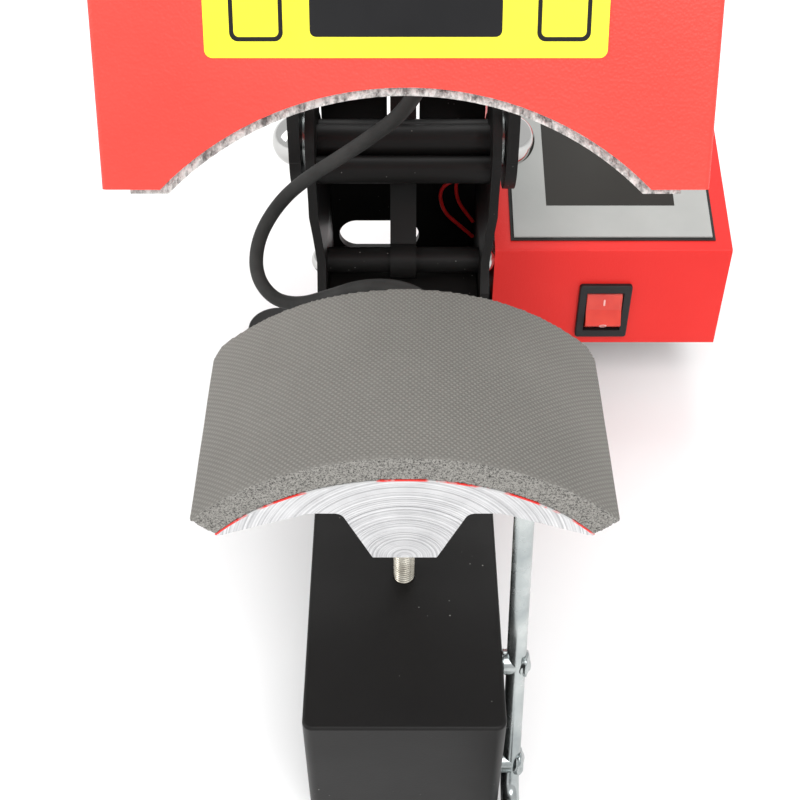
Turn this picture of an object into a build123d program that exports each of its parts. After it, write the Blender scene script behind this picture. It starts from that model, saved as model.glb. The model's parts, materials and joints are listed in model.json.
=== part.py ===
"""Clamshell cap press: a curved heated head that swings down onto a curved, padded lower platen.

Frame: X to the right, Y to the rear, Z up, in millimetres.  The feet rest on Z = 0, X = 0 is the
centreline of the base beam, and Y = 0 is the front face of the padded platen.  The press is open.
"""
from build123d import *
from math import asin, atan2, cos, degrees, hypot, pi, radians, sin, tan
import os

os.makedirs("parts", exist_ok=True)

# ---- driving dimensions ----
PAD_TOP = 185.0            # crown of the foam pad above the table
PAD_R = 90.0               # outer radius of the foam pad
PAD_ARC = 150.0            # size printed across: 150 x 75 mm
PAD_DEPTH = 75.0
PAD_T = 10.0
GLUE_T = 0.6
BOSS_BOTTOM = 137.0        # underside of the lower platen's boss
STUD_D = 8.0
STUD_PITCH = 1.25
BEAM_W, BEAM_FRONT, BEAM_REAR = 70.0, -26.5, 228.0
BEAM_BOTTOM, BEAM_TOP, SHEET = 16.0, 76.0, 2.0
PIVOT_Y, PIVOT_Z = 224.0, 142.0
OPEN_ANGLE = 26.1          # the head swings this far from closed to open
KNUCKLE_Y, KNUCKLE_Z = 211.0, 85.0      # cross tube at the foot of the toggle link
LEVER_DY, LEVER_DZ = 90.0, 60.0         # handle pin from the pivot, head closed
LINK_L, CRANK_L = 103.0, 55.0
COVER_W, COVER_FRONT, COVER_REAR, COVER_TOP = 160.0, -4.0, 82.0, 252.0
COVER_SHEET = 1.5
HEATER_R = PAD_R + 0.4     # the heated face closes onto the pad
COVER_R = HEATER_R + 2.3
COVER_FOOT = 161.5
BOX_LEFT, BOX_RIGHT, BOX_FRONT, BOX_REAR = 43.0, 154.0, 210.0, 326.0
BOX_BOTTOM, BOX_FOLD_Y, BOX_FOLD_Z, BOX_TOP = 33.0, 214.0, 88.0, 119.0
BOX_SHEET = 1.2
CLEAR = 0.05               # radial running clearance

PAD_AXIS_Z = PAD_TOP - PAD_R
HALF = degrees(PAD_ARC / 2 / PAD_R)     # half the angle of the pad
MID_Y = PAD_DEPTH / 2
HINGE = Axis((0, PIVOT_Y, PIVOT_Z), (1, 0, 0))


def save(piece, name):
    """Label a finished piece and write it as the node of that name."""
    piece.label = name
    export_step(piece, f"parts/{name}.step")


def opened(piece):
    """Swing a piece of the head from its closed place to its open one."""
    return piece.rotate(HINGE, -OPEN_ANGLE)


def side(x):
    """The plane at that X whose own x is Y and whose own y is Z; it extrudes to +X."""
    return Plane(origin=(x, 0, 0), x_dir=(0, 1, 0), z_dir=(1, 0, 0))


def front(y):
    """The plane at that Y whose own x is X and whose own y is Z; it extrudes to -Y."""
    return Plane(origin=(0, y, 0), x_dir=(1, 0, 0), z_dir=(0, -1, 0))


def polar(radius, angle):
    """A point of a circle about the pad's axis, its angle counted from straight up."""
    return (radius * sin(radians(angle)), PAD_AXIS_Z + radius * cos(radians(angle)))


def ring_sector(outer, inner, half_angle):
    """Sketch the stretch of a ring about the pad's axis that lies within the half angle."""
    with BuildSketch(Plane.XY, mode=Mode.PRIVATE) as sector:
        with BuildLine():
            ThreePointArc(polar(outer, -half_angle), polar(outer, 0), polar(outer, half_angle))
            Line(polar(outer, half_angle), polar(inner, half_angle))
            ThreePointArc(polar(inner, half_angle), polar(inner, 0), polar(inner, -half_angle))
            Line(polar(inner, -half_angle), polar(outer, -half_angle))
        make_face()
    return sector.sketch


def rods(spans, radius, bore=0.0):
    """Straight round bars along X, one for each (x0, x1, y, z), hollow when a bore is given."""
    with BuildPart() as bars:
        for x0, x1, y, z in spans:
            with BuildSketch(side(x0)):
                with Locations((y, z)):
                    Circle(radius)
                    if bore:
                        Circle(bore, mode=Mode.SUBTRACT)
            extrude(amount=x1 - x0)
    return bars.part


def domes(places, radius, height, shank_r=0.0, shank=0.0):
    """Domed heads that face out along X from (x, y, z), each with an optional shank inward."""
    with BuildPart() as heads:
        for x, y, z in places:
            out = 1 if x > 0 else -1
            seat = Plane(origin=(x, y, z), x_dir=(0, 1, 0), z_dir=(out, 0, 0))
            ball = (radius ** 2 + height ** 2) / (2 * height)
            half = asin(min(1.0, radius / ball)) / 2
            with BuildSketch(Plane(origin=seat.origin, x_dir=seat.z_dir, z_dir=(0, 0, 1))):
                with BuildLine():
                    Line((0, 0), (height, 0))
                    ThreePointArc((height, 0), (height - ball + ball * cos(half), ball * sin(half)), (0, radius))
                    Line((0, radius), (0, 0))
                make_face()
            revolve(axis=Axis(seat.origin, seat.z_dir))
            if shank:
                with BuildSketch(seat):
                    Circle(shank_r)
                extrude(amount=-shank)
    return heads.part


# ---- base beam: a folded sheet box, open below, closed by a bottom plate ----
PEG_Y, PEG_Z = 3.0, 71.0                # pivot peg of the cap hold-down
GUIDE_Y, GUIDE_Z = -12.0, 27.0          # guide peg, which slides in a curved slot
PEG_R = 3.0
HOLD_MIN, HOLD_MAX = -8.0, 4.0          # swing of the hold-down either side of rest
GUIDE_RADIUS = hypot(GUIDE_Y - PEG_Y, GUIDE_Z - PEG_Z)
GUIDE_ANGLE = degrees(atan2(GUIDE_Z - PEG_Z, GUIDE_Y - PEG_Y))
beam_mid = (BEAM_FRONT + BEAM_REAR) / 2
beam_length = BEAM_REAR - BEAM_FRONT
STUD_Y = MID_Y


def on_guide_arc(angle, radius=GUIDE_RADIUS):
    """A point at that swing of the hold-down, at that distance from its pivot peg."""
    turn = radians(GUIDE_ANGLE + angle)
    return (PEG_Y + radius * cos(turn), PEG_Z + radius * sin(turn))


with BuildPart() as base_beam:
    with BuildSketch(Plane.XY.offset(BEAM_BOTTOM)):
        with Locations((0, beam_mid)):
            RectangleRounded(BEAM_W, beam_length, 3.5)
    extrude(amount=BEAM_TOP - BEAM_BOTTOM)
    fillet(base_beam.edges().group_by(Axis.Z)[-1], 1.2)
    with BuildSketch(Plane.XY.offset(BEAM_BOTTOM)):
        with Locations((0, beam_mid)):
            RectangleRounded(BEAM_W - 2 * SHEET, beam_length - 2 * SHEET, 1.5)
    extrude(amount=BEAM_TOP - BEAM_BOTTOM - SHEET, mode=Mode.SUBTRACT)
    with BuildSketch(Plane.XY.offset(BEAM_TOP)):
        with Locations((0, STUD_Y)):
            Circle(STUD_D / 2 + 0.2)
    extrude(amount=-SHEET, mode=Mode.SUBTRACT)
    with BuildSketch(side(BEAM_W / 2 - SHEET)):
        with Locations((PEG_Y, PEG_Z)):
            Circle(PEG_R + CLEAR)
        with BuildLine():
            inner_r, outer_r = GUIDE_RADIUS - PEG_R - 0.4, GUIDE_RADIUS + PEG_R + 0.4
            low, high = HOLD_MIN - 5, HOLD_MAX + 5
            ThreePointArc(*(on_guide_arc(a, outer_r) for a in (low, (low + high) / 2, high)))
            Line(on_guide_arc(high, outer_r), on_guide_arc(high, inner_r))
            ThreePointArc(*(on_guide_arc(a, inner_r) for a in (high, (low + high) / 2, low)))
            Line(on_guide_arc(low, inner_r), on_guide_arc(low, outer_r))
        make_face()
    extrude(amount=SHEET, mode=Mode.SUBTRACT)
save(base_beam.part, "base_beam")

FOOT_X, FRONT_FOOT_Y, REAR_FOOT_X, REAR_FOOT_Y = 20.0, -8.0, 64.0, 241.0
BAR_TOP, BAR_T = BEAM_BOTTOM, 8.0
plate_rear = BEAM_REAR - 2.0
with BuildPart() as bottom_plate:
    with BuildSketch(Plane.XY.offset(BEAM_BOTTOM)):
        with Locations((0, (BEAM_FRONT + plate_rear) / 2)):
            RectangleRounded(BEAM_W - 2 * SHEET - 0.6, plate_rear - BEAM_FRONT - 2 * SHEET - 0.6, 1.2)
    extrude(amount=2.0)
    with Locations(*[(x, FRONT_FOOT_Y, BEAM_BOTTOM + 2.0) for x in (-FOOT_X, FOOT_X)]):
        Hole(2.1, depth=4)
save(bottom_plate.part, "bottom_plate")

with BuildPart() as rear_foot_bar:
    with BuildSketch(Plane.XY.offset(BAR_TOP - BAR_T)):
        with Locations((0, REAR_FOOT_Y)):
            SlotOverall(162, 30)
    extrude(amount=BAR_T)
    fillet(rear_foot_bar.edges().group_by(Axis.Z)[-1], 2.0)
    with Locations(*[(x, REAR_FOOT_Y, BAR_TOP) for x in (-REAR_FOOT_X, REAR_FOOT_X)]):
        Hole(2.1, depth=BAR_T)
save(rear_foot_bar.part, "rear_foot_bar")

foot_places = [(x, FRONT_FOOT_Y, BEAM_BOTTOM) for x in (-FOOT_X, FOOT_X)]
foot_places += [(x, REAR_FOOT_Y, BAR_TOP - BAR_T) for x in (-REAR_FOOT_X, REAR_FOOT_X)]
with BuildPart() as rubber_feet:
    for x, y, top in foot_places:
        with BuildSketch(Plane.XY):
            with Locations((x, y)):
                Circle(9)
        extrude(amount=top, taper=-3)
        with BuildSketch(Plane.XY):
            with Locations((x, y)):
                Circle(4.5)
        extrude(amount=3.5, mode=Mode.SUBTRACT)
        with Locations((x, y, top)):
            Hole(2.1, depth=top)
save(rubber_feet.part, "rubber_feet")

with BuildPart() as foot_screws:
    for x, y, top in foot_places:
        seat_z = top + (2.0 if top == BEAM_BOTTOM else BAR_T)
        with BuildSketch(Plane.XY.offset(1.3)):
            with Locations((x, y)):
                Circle(3.8)
        extrude(amount=2.2)
        with BuildSketch(Plane.XY.offset(3.5)):
            with Locations((x, y)):
                Circle(2.0)
        extrude(amount=seat_z - 3.5 + 3.0)
        with BuildSketch(Plane.XY.offset(seat_z)):
            with Locations((x, y)):
                RegularPolygon(3.9, 6)
                Circle(2.0, mode=Mode.SUBTRACT)
        extrude(amount=3.0)
save(foot_screws.part, "foot_screws")

# ---- uprights: two joggled plates beside the rear of the beam, tied by the slotted rear plate ----
UPRIGHT_T = 4.0
LOW_IN, HIGH_IN = BEAM_W / 2, 38.0      # inner faces, at the beam and at the pivot
BEND_LOW, BEND_HIGH = 96.0, 116.0       # the joggle between them
SPACER_R, KNUCKLE_R = 6.0, 6.0
PIVOT_HOLE_R = 5.0
HEAD_R = 22.0
spacer_places = [(PIVOT_Y - 12.0, PIVOT_Z - 7.0), (PIVOT_Y + 13.0, PIVOT_Z - 4.6)]


def upright(hand):
    """One upright, a bent strip cut to its side outline; hand is -1 left, 1 right."""
    with BuildPart() as plate:
        with BuildSketch(front(280)):
            with BuildLine():
                inner = Polyline((hand * LOW_IN, 10), (hand * LOW_IN, BEND_LOW), (hand * HIGH_IN, BEND_HIGH),
                                 (hand * HIGH_IN, 170))
                offset(inner, amount=UPRIGHT_T, side=Side.RIGHT if hand > 0 else Side.LEFT)
            make_face()
        extrude(amount=110)
        with BuildSketch(side(hand * 60 - 30)) as outline:
            with BuildLine():
                Line((188, BAR_TOP), (262, BAR_TOP))
                Line((262, BAR_TOP), (262, 116))
                ThreePointArc((262, 116), (256, 131), (PIVOT_Y + HEAD_R, PIVOT_Z))
                ThreePointArc((PIVOT_Y + HEAD_R, PIVOT_Z), (PIVOT_Y, PIVOT_Z + HEAD_R),
                              (PIVOT_Y - HEAD_R, PIVOT_Z))
                ThreePointArc((PIVOT_Y - HEAD_R, PIVOT_Z), (202, 112), (188, 84))
                Line((188, 84), (188, BAR_TOP))
            make_face()
        extrude(amount=60, mode=Mode.INTERSECT)
        with BuildSketch(side(hand * 60 - 30)):
            with Locations((PIVOT_Y, PIVOT_Z)):
                Circle(PIVOT_HOLE_R)
            with Locations((KNUCKLE_Y, KNUCKLE_Z)):
                Circle(3.0)
        extrude(amount=60, mode=Mode.SUBTRACT)
    return plate.part


save(upright(-1), "upright_left")
save(upright(1), "upright_right")

REAR_PLATE_Y, REAR_PLATE_T = 256.0, 4.0
REAR_PLATE_TOP = 148.0
NOTCH_W, NOTCH_Z = 15.0, 116.0          # clears the toggle link
SLOT_Z, SLOT_L, SLOT_H = 64.0, 40.0, 18.0
with BuildPart() as rear_plate:
    with BuildSketch(front(REAR_PLATE_Y + REAR_PLATE_T)):
        Polygon((-LOW_IN, BAR_TOP), (LOW_IN, BAR_TOP), (LOW_IN, BEND_LOW), (HIGH_IN, BEND_HIGH),
                (HIGH_IN, REAR_PLATE_TOP), (-HIGH_IN, REAR_PLATE_TOP), (-HIGH_IN, BEND_HIGH),
                (-LOW_IN, BEND_LOW), align=None)
        with Locations((0, NOTCH_Z)):
            Rectangle(NOTCH_W, REAR_PLATE_TOP, align=(Align.CENTER, Align.MIN), mode=Mode.SUBTRACT)
        with Locations((-12, SLOT_Z)):
            SlotOverall(SLOT_L, SLOT_H, mode=Mode.SUBTRACT)
    extrude(amount=REAR_PLATE_T)
save(rear_plate.part, "rear_plate")

# ---- tubes, bolts and nuts across the uprights ----
save(rods([(-HIGH_IN, HIGH_IN, PIVOT_Y, PIVOT_Z)], SPACER_R + 1.0, PIVOT_HOLE_R + 0.3), "pivot_sleeve")
save(rods([(-HIGH_IN, HIGH_IN, y, z) for y, z in spacer_places], SPACER_R, 4.0), "spacer_tubes")
save(rods([(-LOW_IN, LOW_IN, KNUCKLE_Y, KNUCKLE_Z)], KNUCKLE_R, 3.0), "knuckle_tube")

ARM_IN, ARM_T = 44.0, 5.0               # inner face and thickness of the arm plates
washer_gap = ARM_IN - HIGH_IN - UPRIGHT_T
washer_x0 = HIGH_IN + UPRIGHT_T + 0.2
washer_spans = [(washer_x0, washer_x0 + washer_gap - 0.4, PIVOT_Y, PIVOT_Z)]
washer_spans += [(-x1, -x0, y, z) for x0, x1, y, z in washer_spans]
save(rods(washer_spans, 11.5, PIVOT_HOLE_R + 0.1), "pivot_washers")

bolt_x = ARM_IN + ARM_T + 0.3
save(domes([(-bolt_x, PIVOT_Y, PIVOT_Z), (bolt_x, PIVOT_Y, PIVOT_Z)], 10.8, 8.5,
           PIVOT_HOLE_R - 0.02, bolt_x - 20), "pivot_bolts")
nut_x = LOW_IN + UPRIGHT_T
save(domes([(-nut_x, KNUCKLE_Y, KNUCKLE_Z), (nut_x, KNUCKLE_Y, KNUCKLE_Z)], 6.0, 3.7,
           2.9, nut_x - 2), "knuckle_bolts")

# ---- lower platen on its stud, glued foam pad ----
PLATEN_R = PAD_R - PAD_T - GLUE_T
FLAT_Z, SHELL_X, SHELL_Z = 159.2, 57.0, 148.6
BOSS_TOP_X, BOSS_X = 19.5, 10.2
with BuildPart() as lower_platen:
    with BuildSketch(front(PAD_DEPTH)):
        with BuildLine():
            rim = polar(PLATEN_R, HALF)
            ThreePointArc((-rim[0], rim[1]), (0, PAD_AXIS_Z + PLATEN_R), rim)
            FilletPolyline(rim, (SHELL_X, SHELL_Z), (29.5, FLAT_Z), (BOSS_TOP_X, FLAT_Z),
                           (BOSS_X, BOSS_BOTTOM), (-BOSS_X, BOSS_BOTTOM), (-BOSS_TOP_X, FLAT_Z),
                           (-29.5, FLAT_Z), (-SHELL_X, SHELL_Z), (-rim[0], rim[1]),
                           radius=[0.6, 4, 3.2, 0.5, 0.5, 3.2, 4, 0.6])
        make_face()
    extrude(amount=PAD_DEPTH)
    with BuildSketch(Plane.XY.offset(BOSS_BOTTOM)):
        with Locations((0, STUD_Y)):
            Circle(STUD_D / 2)
    extrude(amount=18, mode=Mode.SUBTRACT)
save(lower_platen.part, "lower_platen")

with BuildPart() as pad_adhesive:
    with BuildSketch(front(PAD_DEPTH)):
        add(ring_sector(PLATEN_R + GLUE_T, PLATEN_R, HALF))
    extrude(amount=PAD_DEPTH)
save(pad_adhesive.part, "pad_adhesive")

with BuildPart() as foam_pad:
    with BuildSketch(front(PAD_DEPTH)):
        add(ring_sector(PAD_R, PLATEN_R + GLUE_T, HALF))
    extrude(amount=PAD_DEPTH)
    rear_corners = foam_pad.edges().filter_by(lambda e: e.length < PAD_T + 1).group_by(Axis.Y)[-1]
    chamfer(rear_corners, 4)
save(foam_pad.part, "foam_pad")

STUD_LOW = BEAM_TOP - 16.0
with BuildPart() as platen_stud:
    with BuildSketch(Plane.XZ.offset(-STUD_Y)):
        with BuildLine():
            Polyline((0, STUD_LOW), (STUD_D / 2 - 0.7, STUD_LOW), (STUD_D / 2, STUD_LOW + 0.7))
            turns = int((BOSS_BOTTOM - BEAM_TOP) / STUD_PITCH)
            groove = [(STUD_D / 2, STUD_LOW + 0.7), (STUD_D / 2, BEAM_TOP + 0.5)]
            for turn in range(turns):
                z = BEAM_TOP + 0.5 + turn * STUD_PITCH
                groove += [(STUD_D / 2 - 0.55, z + STUD_PITCH * 0.35),
                           (STUD_D / 2, z + STUD_PITCH * 0.7), (STUD_D / 2, z + STUD_PITCH)]
            groove += [(STUD_D / 2, BOSS_BOTTOM + 17.0), (0, BOSS_BOTTOM + 17.0), (0, STUD_LOW)]
            Polyline(*groove)
        make_face()
    revolve(axis=Axis((0, STUD_Y, 0), (0, 0, 1)))
save(platen_stud.part, "platen_stud")

with BuildPart() as stud_nuts:
    for z, thick, across in ((BEAM_TOP - SHEET - 1.6, 1.6, 8.0), (BEAM_TOP - SHEET - 8.1, 6.5, 7.2)):
        with BuildSketch(Plane.XY.offset(z)):
            with Locations((0, STUD_Y)):
                if across > 7.5:
                    Circle(across)
                else:
                    RegularPolygon(across, 6)
                Circle(STUD_D / 2, mode=Mode.SUBTRACT)
        extrude(amount=thick)
save(stud_nuts.part, "stud_nuts")

# ---- cap hold-down: a plated bar welded to two pegs in the beam's right wall ----
BAR_X, BAR_R = 40.0, 3.5
bar_route = [(BAR_X, -76, 14), (BAR_X, -16.5, 14), (BAR_X, 25.5, 144), (BAR_X, 89, 144), (-BAR_X, 89, 144)]
with BuildPart() as hold_down_bar:
    with BuildLine() as route:
        FilletPolyline(*bar_route, radius=[9, 9, 9])
    with BuildSketch(Plane(origin=route.line @ 0, z_dir=route.line % 0)):
        Circle(BAR_R)
    sweep()
    for y, z in ((PEG_Y, PEG_Z), (GUIDE_Y, GUIDE_Z)):
        with BuildSketch(side(BEAM_W / 2 + 0.4)):
            with Locations((y, z)):
                Circle(PEG_R + 1.6)
        extrude(amount=BAR_X - BEAM_W / 2 - 0.4)
        with BuildSketch(side(BEAM_W / 2 - SHEET - 4)):
            with Locations((y, z)):
                Circle(PEG_R)
        extrude(amount=BAR_X - BEAM_W / 2 + SHEET + 4)
save(hold_down_bar.part, "hold_down_bar")

with BuildPart() as hold_down_grip:
    with BuildSketch(Plane.XZ.offset(46)):
        with Locations((BAR_X, 14)):
            Circle(6.5)
            Circle(BAR_R, mode=Mode.SUBTRACT)
    extrude(amount=30)
    with BuildSketch(Plane.XZ.offset(76)):
        with Locations((BAR_X, 14)):
            Circle(6.5)
    extrude(amount=3)
    fillet(hold_down_grip.edges().filter_by(GeomType.CIRCLE).filter_by(lambda e: e.radius > 6), 1.4)
save(hold_down_grip.part, "hold_down_grip")

# ---- control box: a folded cover over a base tray, bolted to the right upright ----
box_profile = [(BOX_FRONT, BOX_BOTTOM), (BOX_FOLD_Y, BOX_FOLD_Z), (BOX_REAR, BOX_TOP), (BOX_REAR, BOX_BOTTOM)]
PANEL_TILT = degrees(atan2(BOX_TOP - BOX_FOLD_Z, BOX_REAR - BOX_FOLD_Y))
BOX_MID = (BOX_LEFT + BOX_RIGHT) / 2


def on_panel(up, lift=0.0):
    """The plane of the sloping top panel, that far up the slope from the fold, lifted off it."""
    along = (0, cos(radians(PANEL_TILT)), sin(radians(PANEL_TILT)))
    out = (0, -along[2], along[1])
    place = (BOX_MID, BOX_FOLD_Y + up * along[1] + lift * out[1], BOX_FOLD_Z + up * along[2] + lift * out[2])
    return Plane(origin=place, x_dir=(1, 0, 0), z_dir=out)


FRONT_LEAN = degrees(atan2(BOX_FOLD_Y - BOX_FRONT, BOX_FOLD_Z - BOX_BOTTOM))
SWITCH_X, SWITCH_UP = 97.0, 20.5        # switch centre, and its place up the front face
BEZEL_W, BEZEL_H, CUT_W, CUT_H = 25.0, 31.0, 19.6, 26.6


def on_front(lift=0.0):
    """The plane of the front face at the switch's centre, lifted off it."""
    up = (0, sin(radians(FRONT_LEAN)), cos(radians(FRONT_LEAN)))
    out = (0, -up[2], up[1])
    place = (SWITCH_X, BOX_FRONT + SWITCH_UP * up[1] + lift * out[1],
             BOX_BOTTOM + SWITCH_UP * up[2] + lift * out[2])
    return Plane(origin=place, x_dir=(1, 0, 0), z_dir=out)


SCREEN_W, SCREEN_H, SCREEN_UP = 61.0, 52.0, 51.0
PANEL_W, PANEL_H = 93.0, 84.0
TRAY_LIP = 6.0
INLET_X, INLET_Z = 74.0, 66.0
with BuildPart() as control_box:
    with BuildSketch(side(BOX_LEFT)):
        Polygon(*box_profile, align=None)
    extrude(amount=BOX_RIGHT - BOX_LEFT)
    fillet(control_box.edges().filter_by(Axis.X).group_by(Axis.Z)[-2:][0], 1.5)
    with BuildSketch(side(BOX_LEFT + BOX_SHEET)):
        Polygon(*box_profile, align=None)
        offset(amount=-BOX_SHEET, kind=Kind.INTERSECTION)
    extrude(amount=BOX_RIGHT - BOX_LEFT - 2 * BOX_SHEET, mode=Mode.SUBTRACT)
    with BuildSketch(side(BOX_LEFT + BOX_SHEET)):
        with Locations(((BOX_FRONT + BOX_REAR) / 2, BOX_BOTTOM)):
            Rectangle(BOX_REAR - BOX_FRONT - 2 * TRAY_LIP, 2 * BOX_SHEET + 1)
    extrude(amount=BOX_RIGHT - BOX_LEFT - 2 * BOX_SHEET, mode=Mode.SUBTRACT)
    with BuildSketch(on_panel(SCREEN_UP)):
        Rectangle(SCREEN_W, SCREEN_H)
    extrude(amount=6, both=True, mode=Mode.SUBTRACT)
    with BuildSketch(on_front()):
        Rectangle(CUT_W, CUT_H)
    extrude(amount=6, both=True, mode=Mode.SUBTRACT)
    with BuildSketch(front(BOX_REAR + 1)):
        with Locations((INLET_X, INLET_Z)):
            Rectangle(27.4, 19.4)
        with GridLocations(0, 5, 1, 7):
            with Locations((BOX_RIGHT - 26, INLET_Z + 4)):
                SlotOverall(30, 2.2)
    extrude(amount=3, mode=Mode.SUBTRACT)
save(control_box.part, "control_box")

with BuildPart() as box_tray:
    with BuildSketch(Plane.XY.offset(BOX_BOTTOM + BOX_SHEET + 0.1)):
        with Locations((BOX_MID, (BOX_FRONT + BOX_REAR) / 2 + 1)):
            Rectangle(BOX_RIGHT - BOX_LEFT - 2 * BOX_SHEET - 0.8, BOX_REAR - BOX_FRONT - 2 * BOX_SHEET - 3)
    extrude(amount=1.5)
save(box_tray.part, "box_tray")

spacer_yz = [(228.0, 48.0), (250.0, 48.0)]
box_spacer_spans = [(LOW_IN + UPRIGHT_T, BOX_LEFT, y, z) for y, z in spacer_yz]
save(rods(box_spacer_spans, 5.0, 2.1), "box_spacers")

with BuildPart() as display_gasket:
    with BuildSketch(on_panel(SCREEN_UP - 2)):
        Rectangle(PANEL_W + 3, PANEL_H + 3)
    extrude(amount=0.6)
    with BuildSketch(on_panel(SCREEN_UP)):
        Rectangle(SCREEN_W, SCREEN_H)
    extrude(amount=3, both=True, mode=Mode.SUBTRACT)
save(display_gasket.part, "display_gasket")

with BuildPart() as display_panel:
    with BuildSketch(on_panel(SCREEN_UP - 2, 0.6)):
        Rectangle(PANEL_W, PANEL_H)
    extrude(amount=0.8)
    with BuildSketch(on_panel(SCREEN_UP)):
        Rectangle(SCREEN_W, SCREEN_H)
    extrude(amount=3, both=True, mode=Mode.SUBTRACT)
save(display_panel.part, "display_panel")

with BuildPart() as display_window:
    with BuildSketch(on_panel(SCREEN_UP, -3.0)):
        Rectangle(SCREEN_W - 0.2, SCREEN_H - 0.2)
    extrude(amount=4.2)
save(display_window.part, "display_window")

with BuildPart() as circuit_board:
    with BuildSketch(on_panel(SCREEN_UP, -11.0)):
        Rectangle(88, 74)
    extrude(amount=1.6)
    with BuildSketch(on_panel(SCREEN_UP, -9.4)):
        with GridLocations(54, 44, 2, 2):
            Circle(3)
    extrude(amount=6.4)
save(circuit_board.part, "circuit_board")

# ---- rocker switch ----
ROCKER_W, ROCKER_H = 17.0, 21.0
ROCK_DEPTH = 4.0                        # rocker axle, behind the face of the control box
with BuildPart() as switch_bezel:
    with BuildSketch(on_front()):
        RectangleRounded(BEZEL_W, BEZEL_H, 1.5)
    extrude(amount=2.2)
    fillet(switch_bezel.edges().group_by(Axis.Y)[0], 0.6)
    with BuildSketch(on_front(-17)):
        Rectangle(CUT_W - 0.4, CUT_H - 0.4)
    extrude(amount=17)
    with BuildSketch(on_front(3)):
        Rectangle(ROCKER_W + 1.0, ROCKER_H + 1.4)
    extrude(amount=-17, mode=Mode.SUBTRACT)
    with BuildSketch(on_front(-17)):
        with Locations((-5, 0), (5, 0)):
            Rectangle(0.8, 6.3)
    extrude(amount=-8)
save(switch_bezel.part, "switch_bezel")

rocker_side = Plane(origin=on_front(-ROCK_DEPTH).origin, x_dir=on_front().z_dir, z_dir=(-1, 0, 0))
with BuildPart() as rocker:
    with BuildSketch(rocker_side.offset(-ROCKER_W / 2)):
        with BuildLine():
            tips = [(-4, 10.2), (5.2, 9.65), (9.3, -5.8), (-4, -10.2)]
            RadiusArc(tips[0], tips[1], ROCKER_H / 2 + 0.46)
            Polyline(tips[1], (6.0, 1.2), tips[2])
            RadiusArc(tips[2], tips[3], ROCKER_H / 2 + 0.46)
            Line(tips[3], tips[0])
        make_face()
    extrude(amount=ROCKER_W)
    fillet(rocker.edges().filter_by(Axis.X), 0.5)
    with BuildSketch(rocker_side.offset(-ROCKER_W / 2 - 0.45)):
        Circle(1.5)
    extrude(amount=ROCKER_W + 0.9)
save(rocker.part, "rocker")

with BuildPart() as mains_inlet:
    with BuildSketch(front(BOX_REAR)):
        with Locations((INLET_X, INLET_Z)):
            Rectangle(27, 19)
    extrude(amount=16)
    with BuildSketch(front(BOX_REAR + 2)):
        with Locations((INLET_X, INLET_Z)):
            RectangleRounded(50, 23, 3)
    extrude(amount=2)
    with BuildSketch(front(BOX_REAR + 2)):
        with Locations((INLET_X, INLET_Z)):
            RectangleRounded(24, 16, 2.5)
        with Locations((INLET_X - 19.5, INLET_Z), (INLET_X + 19.5, INLET_Z)):
            Circle(1.7)
    extrude(amount=15, mode=Mode.SUBTRACT)
    with BuildSketch(front(BOX_REAR - 13)):
        with Locations((INLET_X - 6, INLET_Z - 1.5), (INLET_X, INLET_Z + 2.5), (INLET_X + 6, INLET_Z - 1.5)):
            Rectangle(2, 4)
    extrude(amount=-10)
save(mains_inlet.part, "mains_inlet")

# ---- swinging head: arms, bridge, cover, heated platen ----
LEVER_PIN_R, HEAD_PIN = 5.0, (PIVOT_Y + LEVER_DY, PIVOT_Z + LEVER_DZ)
BRIDGE_Z, BRIDGE_T = 262.0, 6.0
BRIDGE_FRONT, BRIDGE_REAR = 20.0, 88.0


def arm(x0):
    """One arm plate, five millimetres of steel from x0, in the closed position."""
    with BuildPart() as plate:
        with BuildSketch(side(x0)):
            with Locations((PIVOT_Y, PIVOT_Z)):
                Circle(21)
            with Locations(HEAD_PIN):
                Circle(15)
            make_hull()
            with BuildLine():
                FilletPolyline((204, 134), (186, 196), (96, 256), (BRIDGE_FRONT - 4, 256),
                               (BRIDGE_FRONT - 4, 284), (96, 288), (214, 232), (306, 214),
                               (PIVOT_Y + 30, PIVOT_Z + 10), (204, 134), radius=[2, 26, 20, 6, 6, 20, 20, 4, 4])
            make_face()
            with Locations((PIVOT_Y, PIVOT_Z)):
                Circle(PIVOT_HOLE_R + CLEAR, mode=Mode.SUBTRACT)
            with Locations(HEAD_PIN):
                Circle(LEVER_PIN_R, mode=Mode.SUBTRACT)
        extrude(amount=ARM_T)
    return opened(plate.part)


save(arm(ARM_IN), "arm_right")
save(arm(-ARM_IN - ARM_T), "arm_left")
save(opened(rods([(-ARM_IN, ARM_IN, 150.0, 246.0)], 8.0, 6.0)), "arm_tie_tube")

with BuildPart() as bridge_plate:
    with BuildSketch(Plane.XY.offset(BRIDGE_Z)):
        with Locations((0, (BRIDGE_FRONT + BRIDGE_REAR) / 2)):
            Rectangle(2 * ARM_IN, BRIDGE_REAR - BRIDGE_FRONT)
    extrude(amount=BRIDGE_T)
    with Locations((0, 52, BRIDGE_Z + BRIDGE_T)):
        Hole(6.0 + CLEAR, depth=BRIDGE_T)
    with Locations(*[(x, y, BRIDGE_Z + BRIDGE_T) for x in (-30, 30) for y in (34, 70)]):
        Hole(3.0, depth=BRIDGE_T)
save(opened(bridge_plate.part), "bridge_plate")

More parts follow.
